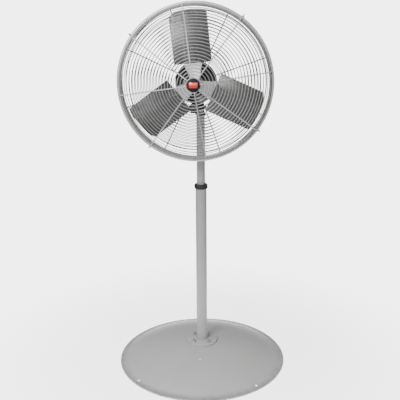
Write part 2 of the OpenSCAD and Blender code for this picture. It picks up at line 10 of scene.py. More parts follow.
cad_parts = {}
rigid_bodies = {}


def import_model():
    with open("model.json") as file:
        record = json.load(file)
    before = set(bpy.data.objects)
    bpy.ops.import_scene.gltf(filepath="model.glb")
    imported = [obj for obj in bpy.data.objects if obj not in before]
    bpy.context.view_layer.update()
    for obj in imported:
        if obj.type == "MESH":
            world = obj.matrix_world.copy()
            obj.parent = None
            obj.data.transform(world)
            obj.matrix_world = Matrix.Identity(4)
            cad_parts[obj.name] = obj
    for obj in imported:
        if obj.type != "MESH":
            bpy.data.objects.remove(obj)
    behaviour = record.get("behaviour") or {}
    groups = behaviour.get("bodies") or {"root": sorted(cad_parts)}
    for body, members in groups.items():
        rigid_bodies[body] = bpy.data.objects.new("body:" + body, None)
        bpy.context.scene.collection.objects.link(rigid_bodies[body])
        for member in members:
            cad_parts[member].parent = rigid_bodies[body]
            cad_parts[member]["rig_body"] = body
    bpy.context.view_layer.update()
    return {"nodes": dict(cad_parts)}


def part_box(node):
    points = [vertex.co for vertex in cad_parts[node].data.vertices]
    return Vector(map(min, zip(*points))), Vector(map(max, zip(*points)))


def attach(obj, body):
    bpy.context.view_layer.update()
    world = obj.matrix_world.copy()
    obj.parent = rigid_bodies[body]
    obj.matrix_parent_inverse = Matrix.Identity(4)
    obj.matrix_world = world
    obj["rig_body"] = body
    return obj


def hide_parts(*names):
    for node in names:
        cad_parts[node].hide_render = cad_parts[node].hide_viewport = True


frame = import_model()
nodes = frame["nodes"]

# ---- Camera, floor and light ----
# A camera at chest height, a little to the right of the fan, looking slightly down.
# The floor is a pale disc that fades into a white backdrop. Two soft boxes and a top light.

camera = bpy.data.objects.new("Camera", bpy.data.cameras.new("Camera"))
camera.location = (0.1412, -2.6330, 1.4779)
LOOK_DOWN, LOOK_LEFT, LEAN = math.radians(14.7), math.radians(3.18), math.radians(-0.4)
camera.rotation_euler = (
    Matrix.Rotation(LOOK_LEFT, 3, "Z")
    @ Matrix.Rotation(math.pi / 2 - LOOK_DOWN, 3, "X")
    @ Matrix.Rotation(LEAN, 3, "Z")
).to_euler()
camera.data.sensor_width = 36
camera.data.lens = 53.46
camera.data.shift_y = 0.0025
bpy.context.scene.collection.objects.link(camera)
bpy.context.scene.camera = camera


class Socket:
    """One socket of a material's nodes. Sums written on it add Math nodes."""

    def __init__(self, tree, socket):
        self.tree, self.socket = tree, socket

    def node(self, kind, settings=None, inputs=None, out=0):
        """Any other node: its settings are set first, then the values or links of its sockets."""
        made = self.tree.nodes.new("ShaderNode" + kind)
        for name, value in (settings or {}).items():
            if name == "stops":
                ramp = made.color_ramp.elements
                while len(ramp) < len(value):
                    ramp.new(1.0)
                for stop, (place, colour) in zip(ramp, value):
                    stop.position, stop.color = place, colour
            else:
                setattr(made, name, value)
        for name, value in (inputs or {}).items():
            if isinstance(value, Socket):
                self.tree.links.new(value.socket, made.inputs[name])
            else:
                made.inputs[name].default_value = value
        return Socket(self.tree, made.outputs[out])

    def math(self, operation, *values):
        return self.node("Math", {"operation": operation}, dict(enumerate(values)))

    def __add__(self, other):
        return self.math("ADD", self, other)

    def __sub__(self, other):
        return self.math("SUBTRACT", self, other)

    def __rsub__(self, other):
        return self.math("SUBTRACT", other, self)

    def __mul__(self, other):
        return self.math("MULTIPLY", self, other)

    def __pow__(self, other):
        return self.math("POWER", self, other)

    __radd__, __rmul__ = __add__, __mul__


def finish(name, constants, looks, depth=0.0):
    """A material. Constants go on the shader's own sockets, looks(place) gives what changes."""
    made = bpy.data.materials.new(name)
    made.use_nodes = True
    tree = made.node_tree
    shader = tree.nodes["Principled BSDF"]
    for socket, value in constants.items():
        shader.inputs[socket].default_value = value
    place = Socket(tree, tree.nodes.new("ShaderNodeTexCoord").outputs["Object"])
    changing = looks(place)
    if "relief" in changing:
        relief = changing.pop("relief")
        changing["Normal"] = relief.node("Bump", {}, {"Height": relief, "Distance": depth})
    for socket, value in changing.items():
        tree.links.new(value.socket, shader.inputs[socket])
    return made


def grain(place, size, detail=2.0, stretch=(1, 1, 1)):
    """Noise from 0 to 1 in marks `size` metres across, drawn out along an axis by its stretch."""
    scaled = place.node("Mapping", {}, {"Vector": place, "Scale": [1 / (size * s) for s in stretch]})
    return place.node("TexNoise", {}, {"Vector": scaled, "Scale": 1.0, "Detail": detail})


def ramped(value, low, high):
    """0 under low, 1 over high, and smooth between them."""
    return value.node(
        "MapRange", {"interpolation_type": "SMOOTHSTEP"}, {"Value": value, "From Min": low, "From Max": high}
    )


def part_of(place, axis):
    return place.node("SeparateXYZ", {}, {"Vector": place}, out="XYZ".index(axis))


def distance_from(place, first, centre_1, second, centre_2):
    """Distance from a line along the third axis."""
    a, b = part_of(place, first) - centre_1, part_of(place, second) - centre_2
    return (a * a + b * b) ** 0.5


def tinted(mask, plain, marked):
    """Colour `plain` where the mask is 0 and `marked` where it is 1; either may be a socket."""
    return mask.node("Mix", {"data_type": "RGBA"}, {0: mask, 6: plain, 7: marked}, out=2)


def grey(value, warmth=0.0):
    return (value * (1 + warmth), value, value * (1 - warmth), 1.0)


FLOOR_R, FLOOR_SOLID_R = 1.6, 0.42


def floor_looks(place):
    near = ramped(distance_from(place, "X", 0.0, "Y", 0.0), FLOOR_SOLID_R, FLOOR_R * 0.95)
    speckle = grain(place, 0.02)
    return {"Base Color": tinted(speckle, grey(0.88), grey(0.94)), "Alpha": 1 - near}


floor_shape = bmesh.new()
bmesh.ops.create_circle(floor_shape, cap_ends=True, segments=128, radius=FLOOR_R)
floor_mesh = bpy.data.meshes.new("floor")
floor_shape.to_mesh(floor_mesh)
floor_shape.free()
FLOOR_GLOW = {"Roughness": 0.8, "Emission Color": grey(1.0), "Emission Strength": 2.6}
floor_mesh.materials.append(finish("studio_floor", FLOOR_GLOW, floor_looks))
floor = bpy.data.objects.new("floor", floor_mesh)
floor.location.z = -0.0006
bpy.context.scene.collection.objects.link(floor)


def soft_box(name, place, size, power):
    """A square soft light that faces the middle of the fan."""
    lamp = bpy.data.objects.new(name, bpy.data.lights.new(name, "AREA"))
    lamp.data.size, lamp.data.energy = size, power
    lamp.location = place
    lamp.rotation_euler = (Vector(place) - Vector((0, 0, 0.8))).to_track_quat("Z", "Y").to_euler()
    bpy.context.scene.collection.objects.link(lamp)


soft_box("key_light", (-1.3, -3.0, 2.4), 1.3, 130)
soft_box("fill_light", (2.9, -1.4, 1.8), 1.4, 16)
soft_box("top_light", (-1.0, -0.6, 3.8), 1.4, 45)

backdrop = bpy.data.worlds.new("backdrop")
backdrop.use_nodes = True
bpy.context.scene.world = backdrop
light_path = backdrop.node_tree.nodes.new("ShaderNodeLightPath")
seen = Socket(backdrop.node_tree, light_path.outputs["Is Camera Ray"])
BACKDROP_WHITE, CEILING_LIGHT, ROOM_LIGHT = 5.0, 0.6, 0.2
up = part_of(seen.node("TexCoord", out=0), "Z")
room = ramped(up, -0.1, 1.0) * (CEILING_LIGHT - ROOM_LIGHT) + ROOM_LIGHT
backdrop_shader = backdrop.node_tree.nodes["Background"]
backdrop_shader.inputs["Color"].default_value = grey(1.0)
backdrop.node_tree.links.new(
    (seen * BACKDROP_WHITE + (1 - seen) * room).socket, backdrop_shader.inputs["Strength"]
)

# ---- Base ----
# A disc of 2.5 mm sheet steel spun into a low dome with a rolled bead round its edge,
# holed for the floor bolts, then sprayed with light grey enamel and stoved.

BASE_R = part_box("base_plate")[1].x


def enamel_looks(place, streak, dark, light):
    """Stoved grey enamel with orange peel; `streak` draws its marks out along the axes."""
    cloud = grain(place, 0.12, 3.0)
    mottle = grain(place, 0.006, 3.0)
    peel = grain(place, 0.0022, 1.0)
    scratch = ramped(grain(place, 0.004, 2.0, streak), 0.66, 0.74)
    rub = ramped(grain(place, 0.05, 4.0), 0.56, 0.72)
    tone = tinted(cloud * 0.6 + mottle * 0.4, grey(dark), grey(light, 0.01))
    marked = tinted(scratch * 0.5, tone, grey(light * 1.3))
    return marked, scratch, rub, peel


def base_looks(place):
    tone, scratch, rub, peel = enamel_looks(place, (14, 1, 1), 0.37, 0.48)
    out = distance_from(place, "X", 0.0, "Y", 0.0)
    dust = ramped(out, BASE_R - 0.05, BASE_R - 0.008) * ramped(grain(place, 0.03, 4.0), 0.35, 0.65)
    worn = ramped(out, BASE_R - 0.003, BASE_R) * ramped(grain(place, 0.012, 3.0), 0.52, 0.6)
    dusty = tinted(dust * 0.45, tone, grey(0.24, 0.08))
    return {
        "Base Color": tinted(worn, dusty, grey(0.16)),
        "Roughness": rub * 0.16 + dust * 0.15 + scratch * 0.1 + 0.36,
        "Metallic": worn * 0.8,
        "relief": peel * 0.6 - scratch * 0.5 - worn * 0.6,
    }


base_enamel = finish("base_enamel", {"Coat Weight": 0.15, "Coat Roughness": 0.3}, base_looks, 0.00012)


def keep(material, *names):
    """These CAD nodes show as they are, in a new finish."""
    for name in names:
        nodes[name].material_slots[0].material = material


def add_piece(name, shape, body, material, sharp=32):
    """Turns a bmesh into a piece that rides on a body, in the finish it is given."""
    mesh = bpy.data.meshes.new(name)
    shape.to_mesh(mesh)
    shape.free()
    mesh.materials.append(material)
    mesh.polygons.foreach_set("use_smooth", [True] * len(mesh.polygons))
    mesh.set_sharp_from_angle(angle=math.radians(sharp))
    made = bpy.data.objects.new(name, mesh)
    bpy.context.scene.collection.objects.link(made)
    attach(made, body)
    return made


def soften(node, material, width=0.0, sharp=32):
    """A copy of a CAD node, welded into one skin with its sharp edges eased, that stands for it."""
    shape = bmesh.new()
    shape.from_mesh(nodes[node].data)
    bmesh.ops.remove_doubles(shape, verts=shape.verts, dist=1e-6)
    if width:
        edges = [e for e in shape.edges if e.is_manifold and e.calc_face_angle(0) > math.radians(40)]
        bmesh.ops.bevel(
            shape, geom=edges, offset=width, offset_type="OFFSET", segments=2, profile=0.5,
            affect="EDGES", clamp_overlap=True, loop_slide=True,
        )
    made = add_piece(node + "_skin", shape, nodes[node]["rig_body"], material, sharp)
    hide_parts(node)
    return made


soften("base_plate", base_enamel)

# ---- Floor flange and its bolts ----
# A thick steel flange welded round the foot of the column and sprayed with it, held to the
# dome by four zinc-plated hexagon bolts with washers, and nuts under the dome.

FLANGE_TOP, TUBE_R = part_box("column_flange")[1].z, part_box("lower_column")[1].x


def tube_looks(place):
    tone, scratch, rub, peel = enamel_looks(place, (1, 1, 24), 0.28, 0.38)
    drawn = grain(place, 0.0016, 2.0, (1, 1, 60))
    return {
        "Base Color": tone,
        "Roughness": rub * 0.14 + drawn * 0.1 + 0.32,
        "relief": peel * 0.4 + drawn * 0.35 - scratch * 0.4,
    }


tube_enamel = finish("tube_enamel", {"Coat Weight": 0.2, "Coat Roughness": 0.25}, tube_looks, 0.0001)
soften("column_flange", base_enamel, 0.0006)


def zinc_looks(place):
    spangle = grain(place, 0.0035, 2.0)
    lathe = grain(place, 0.0005, 1.0, (8, 8, 1))
    stain = ramped(grain(place, 0.009, 4.0), 0.55, 0.7)
    bright = tinted(spangle, (0.50, 0.51, 0.52, 1), (0.66, 0.66, 0.65, 1))
    return {
        "Base Color": tinted(stain * 0.5, bright, (0.42, 0.38, 0.30, 1)),
        "Roughness": spangle * 0.16 + stain * 0.2 + 0.24,
        "relief": lathe * 0.4 + spangle * 0.3,
    }


zinc = finish("zinc_plate", {"Metallic": 1.0}, zinc_looks, 0.00004)


for turned in ("flange_bolts", "flange_washers", "flange_nuts"):
    soften(turned, zinc, 0.0006)

# The weld bead that joins the flange to the tube, laid in short overlapping ripples.
WELD_RIPPLES, WELD_RIPPLE, WELD_R, WELD_OUT = 44, 0.14, 0.0026, 0.0006


def add_ring(shape, centre, radius, wire_r, steps, sides, ripple=0.0, ripples=0, normal="Z"):
    """A closed round bar about a line through `centre`, along world Z or Y."""
    loops = []
    for k in range(steps):
        a = 2 * math.pi * k / steps
        thick = wire_r * (1 + ripple * math.sin(a * ripples))
        if normal == "Z":
            out, along = Vector((math.cos(a), math.sin(a), 0)), Vector((0, 0, 1))
        else:
            out, along = Vector((math.cos(a), 0, math.sin(a))), Vector((0, 1, 0))
        loops.append([
            shape.verts.new(centre + out * (radius + thick * math.cos(b)) + along * (thick * math.sin(b)))
            for b in (2 * math.pi * s / sides for s in range(sides))
        ])
    for k in range(steps):
        here, there = loops[k], loops[(k + 1) % steps]
        for s in range(sides):
            n = (s + 1) % sides
            shape.faces.new((here[s], there[s], there[n], here[n]))


weld_shape = bmesh.new()
add_ring(
    weld_shape, Vector((0, 0, FLANGE_TOP)), TUBE_R + WELD_OUT, WELD_R,
    8 * WELD_RIPPLES, 10, WELD_RIPPLE, WELD_RIPPLES,
)
add_piece("column_weld", weld_shape, "base", tube_enamel, 80)

# ---- Column ----
# Two drawn steel tubes that slide in each other. A split plastic bushing sits in the top of
# the lower tube and a black ribbed collar squeezes it on the upper one.

keep(tube_enamel, "lower_column", "upper_column")


def plastic_looks(place):
    tex = grain(place, 0.0009, 2.0)
    flow = grain(place, 0.02, 3.0)
    dust = ramped(grain(place, 0.012, 4.0), 0.55, 0.75)
    return {
        "Base Color": tinted(dust * 0.35, tinted(flow, grey(0.012), grey(0.022)), grey(0.07, 0.05)),
        "Roughness": tex * 0.1 + dust * 0.18 + 0.38,
        "relief": tex * 0.8 + flow * 0.2,
    }


moulded_black = finish("moulded_black", {"Specular IOR Level": 0.5}, plastic_looks, 0.00006)
keep(moulded_black, "column_bushing", "lower_guide")
soften("clamp_collar", moulded_black, 0.0003)

# ---- Yoke, tilt bolt and motor bracket ----
# Welded steel brackets in black powder coat. The yoke turns in the upper tube and a zinc
# bolt with a nut and washers clamps the bracket's ears between the yoke's.


def powder_looks(place):
    peel = grain(place, 0.0016, 1.0)
    cloud = grain(place, 0.04, 4.0)
    dust = ramped(grain(place, 0.02, 5.0), 0.5, 0.7)
    chip = ramped(grain(place, 0.006, 3.0), 0.72, 0.75)
    black = tinted(cloud, grey(0.010), grey(0.020))
    return {
        "Base Color": tinted(chip * 0.8, tinted(dust * 0.3, black, grey(0.075, 0.06)), grey(0.16)),
        "Roughness": peel * 0.08 + dust * 0.2 + 0.30,
        "relief": peel - chip * 0.6,
    }


powder_black = finish("powder_black", {"Coat Weight": 0.1, "Coat Roughness": 0.3}, powder_looks, 0.0001)
soften("yoke", powder_black, 0.0005)
soften("motor_bracket", powder_black, 0.0005)
for turned in ("tilt_bolt", "tilt_nut", "tilt_washers"):
    soften(turned, zinc, 0.0006)
keep(zinc, "swivel_set_screw", "bracket_screws")

# ---- Motor ----
# A totally closed motor: a rolled sheet shell between two cast bells, painted black, with a
# laminated stator, enamelled copper windings and a ground shaft in two ball bearings.

for painted in ("motor_shell", "front_bell", "rear_bell"):
    soften(painted, powder_black, 0.0004)
keep(zinc, "through_bolts")
rim_lo, rim_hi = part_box("rim_band")
AXIS_X, AXIS_Z = (rim_lo.x + rim_hi.x) / 2, (rim_lo.z + rim_hi.z) / 2
shell_lo, shell_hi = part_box("motor_shell")
SHELL_R = (shell_hi.x - shell_lo.x) / 2
PLATE_TURN, PLATE_ARC, PLATE_W, LABEL_T = math.radians(148), math.radians(15), 0.052, 0.0004
LABEL_MID = (shell_lo.y + shell_hi.y) / 2


def around_axis(radius, y, angle):
    """A point of the head from its distance from the fan's axis, its depth and its angle."""
    return Vector((AXIS_X + radius * math.cos(angle), y, AXIS_Z + radius * math.sin(angle)))


def plate_looks(place):
    brushed = grain(place, 0.0007, 2.0, (1, 30, 1))
    film = grain(place, 0.012, 3.0)
    return {
        "Base Color": tinted(film, grey(0.52), grey(0.66)),
        "Roughness": brushed * 0.15 + film * 0.1 + 0.26,
        "relief": brushed,
    }


plate_metal = finish("plate_metal", {"Metallic": 0.95}, plate_looks, 0.00003)


def add_label(shape, angle, arc, y_mid, width, low, high, steps=16):
    """A thin plate bent round the motor's shell, from radius `low` to radius `high`."""
    rows = []
    for k in range(steps + 1):
        a = angle - arc + 2 * arc * k / steps
        rows.append([
            shape.verts.new(around_axis(radius, y_mid + side * width / 2, a))
            for radius, side in ((low, -1), (high, -1), (high, 1), (low, 1))
        ])
    for here, there in zip(rows, rows[1:]):
        for c in range(4):
            shape.faces.new((here[c], here[(c + 1) % 4], there[(c + 1) % 4], there[c]))
    shape.faces.new(rows[0][::-1])
    shape.faces.new(rows[-1])


# A blank aluminium rating plate with a raised border, held by four drive rivets
label = bmesh.new()
add_label(label, PLATE_TURN, PLATE_ARC, LABEL_MID, PLATE_W, SHELL_R - LABEL_T, SHELL_R + LABEL_T)
for y_side in (-1, 1):
    add_label(label, PLATE_TURN, PLATE_ARC * 0.94, LABEL_MID + y_side * PLATE_W * 0.46, 0.0008,
              SHELL_R + LABEL_T * 0.5, SHELL_R + LABEL_T * 1.6)
for end in (-1, 1):
    add_label(label, PLATE_TURN + end * PLATE_ARC * 0.92, 0.006, LABEL_MID, PLATE_W * 0.9,
              SHELL_R + LABEL_T * 0.5, SHELL_R + LABEL_T * 1.6, 2)
bmesh.ops.recalc_face_normals(label, faces=label.faces)
add_piece("rating_plate", label, "head", plate_metal, 40)
rivets = bmesh.new()
for y_side in (-1, 1):
    for end in (-1, 1):
        seat = around_axis(
            SHELL_R + LABEL_T, LABEL_MID + y_side * PLATE_W * 0.40, PLATE_TURN + end * PLATE_ARC * 0.80
        )
        for v in bmesh.ops.create_icosphere(rivets, subdivisions=3, radius=0.0014)["verts"]:
            v.co += seat
add_piece("rating_plate_rivets", rivets, "head", zinc, 60)


SHEETS_PER_METRE = 2000.0                  # 0.5 mm laminations


def lamination_looks(place):
    sheet = place.math("FRACT", part_of(place, "Y") * SHEETS_PER_METRE)
    edge = ramped(sheet, 0.75, 0.95)
    scale = grain(place, 0.008, 4.0)
    return {
        "Base Color": tinted(edge, tinted(scale, grey(0.16), grey(0.25)), grey(0.06)),
        "Roughness": scale * 0.2 + 0.35,
        "relief": 1 - edge,
    }


laminations = finish("laminations", {"Metallic": 0.9}, lamination_looks, 0.0001)
keep(laminations, "stator_core", "rotor")


def winding_looks(place):
    wander = distance_from(place, "X", AXIS_X, "Z", AXIS_Z) * 2600.0 + grain(place, 0.01) * 6.0
    strand = wander.math("SINE", wander)
    varnish = grain(place, 0.015, 3.0)
    return {
        "Base Color": tinted(varnish, (0.45, 0.16, 0.05, 1), (0.62, 0.28, 0.10, 1)),
        "Roughness": varnish * 0.2 + 0.3,
        "relief": strand,
    }


keep(finish("copper_windings", {"Metallic": 0.8}, winding_looks, 0.0003), "stator_windings")


def ground_looks(place):
    lathe = grain(place, 0.0004, 1.0, (30, 1, 30))
    film = grain(place, 0.01, 3.0)
    return {
        "Base Color": tinted(film, grey(0.50), grey(0.62)),
        "Roughness": lathe * 0.12 + film * 0.1 + 0.16,
        "relief": lathe,
    }


ground_steel = finish("ground_steel", {"Metallic": 1.0}, ground_looks, 0.00002)
keep(ground_steel, "front_bearing", "rear_bearing", "motor_shaft")

soften("guard_plate", powder_black, 0.0004)
keep(zinc, "guard_plate_screws")

# ---- Switch box ----
# A folded sheet box behind the motor with a screwed cover. It holds the run capacitor and
# the rotary speed switch; the cover carries the knob, and a gland points down.

soften("switch_box", powder_black, 0.0008)
soften("switch_box_cover", powder_black, 0.0005)
keep(zinc, "cover_screws")
keep(moulded_black, "speed_switch", "cord_gland")


def can_looks(place):
    draw = grain(place, 0.0008, 1.0, (1, 1, 20))
    film = grain(place, 0.02, 3.0)
    return {
        "Base Color": tinted(film, grey(0.55), grey(0.68)),
        "Roughness": draw * 0.15 + 0.25,
        "relief": draw,
    }


keep(finish("drawn_can", {"Metallic": 1.0}, can_looks, 0.00004), "capacitor")
soften("speed_knob", moulded_black, 0.0005)

# A satin dial plate round the knob with its four places, off and three speeds, and a white
# line inlaid in the knob's rib
COVER_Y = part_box("switch_box_cover")[1].y
knob_lo, knob_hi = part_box("speed_knob")
KNOB_X, KNOB_Z = (knob_lo.x + knob_hi.x) / 2, (knob_lo.z + knob_hi.z) / 2
KNOB_R = (knob_hi.z - knob_lo.z) / 2
DIAL_IN_R, DIAL_OUT_R, DIAL_T, MARK_T = 0.0055, KNOB_R + 0.0095, 0.0005, 0.0002
DIAL_STEPS, PLACE_TURN = 96, math.radians(45)
TICK_W, TICK_L, TICK_OUT, FIGURE_H, FIGURE_OUT = 0.0008, 0.0026, 0.0016, 0.0056, 0.0058


def on_cover(radius, turn, y):
    """A point over the switch box's cover; a turn of 0 is up and the rest follow the knob's turn."""
    return Vector((KNOB_X + radius * math.sin(turn), y, KNOB_Z + radius * math.cos(turn)))


dial = bmesh.new()
hoops = [
    [dial.verts.new(on_cover(r, 2 * math.pi * k / DIAL_STEPS, y)) for k in range(DIAL_STEPS)]
    for r, y in ((DIAL_IN_R, COVER_Y), (DIAL_OUT_R, COVER_Y),
                 (DIAL_OUT_R, COVER_Y + DIAL_T), (DIAL_IN_R, COVER_Y + DIAL_T))
]
for low, high in zip(hoops, hoops[1:] + hoops[:1]):
    for k in range(DIAL_STEPS):
        n = (k + 1) % DIAL_STEPS
        dial.faces.new((low[k], low[n], high[n], high[k]))
bmesh.ops.recalc_face_normals(dial, faces=dial.faces)
add_piece("speed_dial", dial, "head", plate_metal)


def add_block(shape, centre, size, turn):
    """A small bar on the dial or the knob, turned about the knob's axis."""
    for v in bmesh.ops.create_cube(shape, size=1.0)["verts"]:
        v.co = centre + Matrix.Rotation(turn, 3, "Y") @ Vector(v.co * Vector(size))


def ink_looks(place):
    worn = ramped(grain(place, 0.002, 4.0), 0.5, 0.8)
    return {
        "Base Color": tinted(worn, grey(0.02), grey(0.06)),
        "Roughness": worn * 0.2 + 0.4,
    }


def paint_looks(place):
    worn = ramped(grain(place, 0.002, 4.0), 0.5, 0.8)
    return {
        "Base Color": tinted(worn, grey(0.80), grey(0.62, 0.03)),
        "Roughness": worn * 0.2 + 0.4,
    }


marks = bmesh.new()
for place_number in range(4):
    turn = place_number * PLACE_TURN
    tick = on_cover(KNOB_R + TICK_OUT, turn, COVER_Y + DIAL_T)
    add_block(marks, tick, (TICK_W, 2 * MARK_T, TICK_L), turn)
    figure = bpy.data.curves.new("figure", "FONT")
    figure.body, figure.size, figure.extrude = str(place_number), FIGURE_H, MARK_T
    figure.align_x, figure.align_y = "CENTER", "CENTER"
    drawn = bpy.data.objects.new("figure", figure)
    flat = bpy.data.meshes.new_from_object(drawn)
    seat = on_cover(KNOB_R + FIGURE_OUT, turn, COVER_Y + DIAL_T)
    upright = Matrix(((-1, 0, 0), (0, 0, 1), (0, 1, 0)))
    flat.transform(Matrix.Translation(seat) @ upright.to_4x4())
    marks.from_mesh(flat)
    bpy.data.objects.remove(drawn)
bmesh.ops.remove_doubles(marks, verts=marks.verts, dist=1e-7)
add_piece("dial_figures", marks, "head", finish("dial_ink", {}, ink_looks), 30)
pointer = bmesh.new()
POINTER_AT = Vector((KNOB_X, knob_hi.y, KNOB_Z + KNOB_R * 0.52))
add_block(pointer, POINTER_AT, (0.0014, 2 * MARK_T, KNOB_R * 0.56), 0.0)
add_piece("knob_pointer", pointer, "knob", finish("pointer_white", {}, paint_looks), 30)

# ---- Hub and blades ----
# Three blades stamped from aluminium sheet, riveted to the arms of a cast aluminium hub
# that a set screw holds on the motor shaft.


def cast_looks(place):
    sand = grain(place, 0.0018, 4.0)
    pore = ramped(grain(place, 0.003, 2.0), 0.68, 0.76)
    film = grain(place, 0.03, 3.0)
    return {
        "Base Color": tinted(pore * 0.6, tinted(film, grey(0.76), grey(0.90)), grey(0.45)),
        "Roughness": sand * 0.2 + film * 0.1 + 0.36,
        "relief": sand - pore,
    }


cast_aluminium = finish("cast_aluminium", {"Metallic": 0.55}, cast_looks, 0.00014)


# The blades' aluminium is given a dark base colour: painted shade and painted dark reflections, where real
# sheet would be bright.
def blade_looks(place):
    rolled = grain(place, 0.0012, 2.0, (40, 1, 1))
    smear = grain(place, 0.05, 4.0)
    out = distance_from(place, "X", AXIS_X, "Z", AXIS_Z)
    grime = ramped(out, 0.20, 0.29) * ramped(grain(place, 0.02, 5.0), 0.4, 0.66)
    return {
        "Base Color": tinted(grime * 0.5, tinted(smear, grey(0.15), grey(0.25, 0.01)), grey(0.11, 0.06)),
        "Roughness": rolled * 0.14 + smear * 0.14 + grime * 0.18 + 0.26,
        "relief": rolled * 0.6 + smear * 0.4,
    }


shaded_mill_aluminium = finish("shaded_mill_aluminium", {"Metallic": 0.95}, blade_looks, 0.00005)
soften("hub_spider", cast_aluminium, 0.0005)
for blade in ("blade_1", "blade_2", "blade_3"):
    soften(blade, shaded_mill_aluminium, 0.0003)
keep(shaded_mill_aluminium, "blade_rivets")
keep(zinc, "hub_set_screw")

# ---- Rear guard ----
# Steel wire rings spot-welded to eight heavier spokes, behind the blades, and dipped with the
# rest of the guard in a satin grey lacquer.

BEAD_R = 0.0075                            # rolled bead along each edge of the rim
RIM_FRONT, RIM_BACK = -rim_lo.y - BEAD_R, -rim_hi.y + BEAD_R
BEAD_PITCH_R = (rim_hi.x - rim_lo.x) / 2 - BEAD_R
RING_R, SPOKE_R, WELD_SINK = 0.0018, 0.0024, 0.00015
RING_STEPS, WIRE_SIDES = 144, 10
SPOKES = 8
LIFT = RING_R + SPOKE_R - WELD_SINK


def lacquer(name, dark, light, rim_darkening=0.0):
    """Satin grey lacquer between two tones, with runs, a dull film, grime in patches and a smooth darkening
    of the rings towards the rim.
    """

    def looks(place):
        flow = grain(place, 0.004, 3.0)
        film = grain(place, 0.05, 3.0)
        out = distance_from(place, "X", AXIS_X, "Z", AXIS_Z)
        patches = ramped(grain(place, 0.014, 5.0), 0.52, 0.72)
        grime = patches + ramped(out, BEAD_PITCH_R - 0.075, BEAD_PITCH_R - 0.02) * (1 - patches) * rim_darkening
        return {
            "Base Color": tinted(grime * 0.5, tinted(film, grey(dark), grey(light)), grey(dark * 0.5, 0.05)),
            "Roughness": flow * 0.14 + grime * 0.2 + 0.30,
            "relief": flow,
        }

    return finish(name, {"Metallic": 0.4}, looks, 0.00006)


# The rear rings and spokes take darker copies of the guard's one lacquer: painted shade for the rear half,
# which sits in shadow behind the blades.
shaded_rear_ring_lacquer = lacquer("shaded_rear_ring_lacquer", 0.15, 0.20, 0.9)
shaded_rear_spoke_lacquer = lacquer("shaded_rear_spoke_lacquer", 0.13, 0.18)


def eased(points, steps=6):
    """A smooth line through the points (Catmull-Rom)."""
    ends = [2 * points[0] - points[1], *points, 2 * points[-1] - points[-2]]
    line = []
    for a, b, c, d in zip(ends, ends[1:], ends[2:], ends[3:]):
        for s in range(steps):
            t = s / steps
            line.append(0.5 * (2 * b + (c - a) * t + (2 * a - 5 * b + 4 * c - d) * t * t
                               + (3 * b - a - 3 * c + d) * t ** 3))
    return line + [points[-1]]


def add_wire(shape, line, across, wire_r, sides=WIRE_SIDES):
    """A round wire along a line that lies in one plane; `across` is that plane's normal."""
    loops = []
    for k, point in enumerate(line):
        ahead = (line[min(k + 1, len(line) - 1)] - line[max(k - 1, 0)]).normalized()
        up = across.cross(ahead)
        loops.append([
            shape.verts.new(point + wire_r * (math.cos(b) * across + math.sin(b) * up))
            for b in (2 * math.pi * s / sides for s in range(sides))
        ])
    for here, there in zip(loops, loops[1:]):
        for s in range(sides):
            n = (s + 1) % sides
            shape.faces.new((here[s], here[n], there[n], there[s]))
    last = len(line) - 1
    for loop, end, inner in ((loops[0], 0, 1), (loops[-1], last, last - 1)):
        tip = shape.verts.new(line[end] + 0.5 * wire_r * (line[end] - line[inner]).normalized())
        for s in range(sides):
            n = (s + 1) % sides
            shape.faces.new((loop[s], loop[n], tip) if end else (loop[n], loop[s], tip))


def add_spot_weld(shape, point, angle, size):
    """A little fused pad where a ring crosses a spoke."""
    turned = Matrix.Rotation(-angle, 3, "Y")
    pad = bmesh.ops.create_icosphere(shape, subdivisions=1, radius=1.0)["verts"]
    for v in pad:
        v.co = point + turned @ Vector((v.co.x * size, v.co.y * size * 0.75, v.co.z * size * 1.25))


def guard_half(name, rings, ring_finish, spoke_line, spoke_finish, turn, side):
    """Rings, spokes and their spot welds. side is 1 in front of the blades and -1 behind."""
    ring_shape = bmesh.new()
    for radius, front in rings:
        centre = Vector((AXIS_X, -front, AXIS_Z))
        add_ring(ring_shape, centre, radius, RING_R, RING_STEPS, WIRE_SIDES, normal="Y")
    made = add_piece(name + "_ring_wires", ring_shape, "head", ring_finish, 70)
    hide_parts(name + "_guard_rings")
    spoke_shape, pad_shape = bmesh.new(), bmesh.new()
    for k in range(SPOKES):
        angle = turn + 2 * math.pi * k / SPOKES
        line = eased([around_axis(radius, -front, angle) for radius, front in spoke_line])
        add_wire(spoke_shape, line, Vector((-math.sin(angle), 0, math.cos(angle))), SPOKE_R)
        for radius, front in rings:
            crossing = around_axis(radius, -front - side * RING_R * 0.8, angle)
            add_spot_weld(pad_shape, crossing, angle, RING_R * 1.25)
    made = add_piece(name + "_spoke_wires", spoke_shape, "head", spoke_finish, 70)
    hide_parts(name + "_guard_spokes")
    add_piece(name + "_spot_welds", pad_shape, "head", ring_finish, 80)


plate_lo, plate_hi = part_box("guard_plate")
PLATE_R = (plate_hi.x - plate_lo.x) / 2
REAR_HUB = -plate_hi.y - SPOKE_R
KNEE_R, KNEE = BEAD_PITCH_R - 0.0315, RIM_BACK - 0.029
REAR_LAST_R, REAR_LAST = BEAD_PITCH_R - 0.0085, RIM_BACK - 0.0095
REAR_FIRST_R = PLATE_R + 0.014
RING_PITCH = 0.01275
REAR_RINGS = math.floor((REAR_LAST_R - REAR_FIRST_R) / RING_PITCH) + 1


def rear_at(radius):
    if radius < KNEE_R:
        return REAR_HUB + LIFT + (KNEE - REAR_HUB - LIFT) * (radius - PLATE_R) / (KNEE_R - PLATE_R)
    return KNEE + (REAR_LAST - KNEE) * (radius - KNEE_R) / (REAR_LAST_R - KNEE_R)


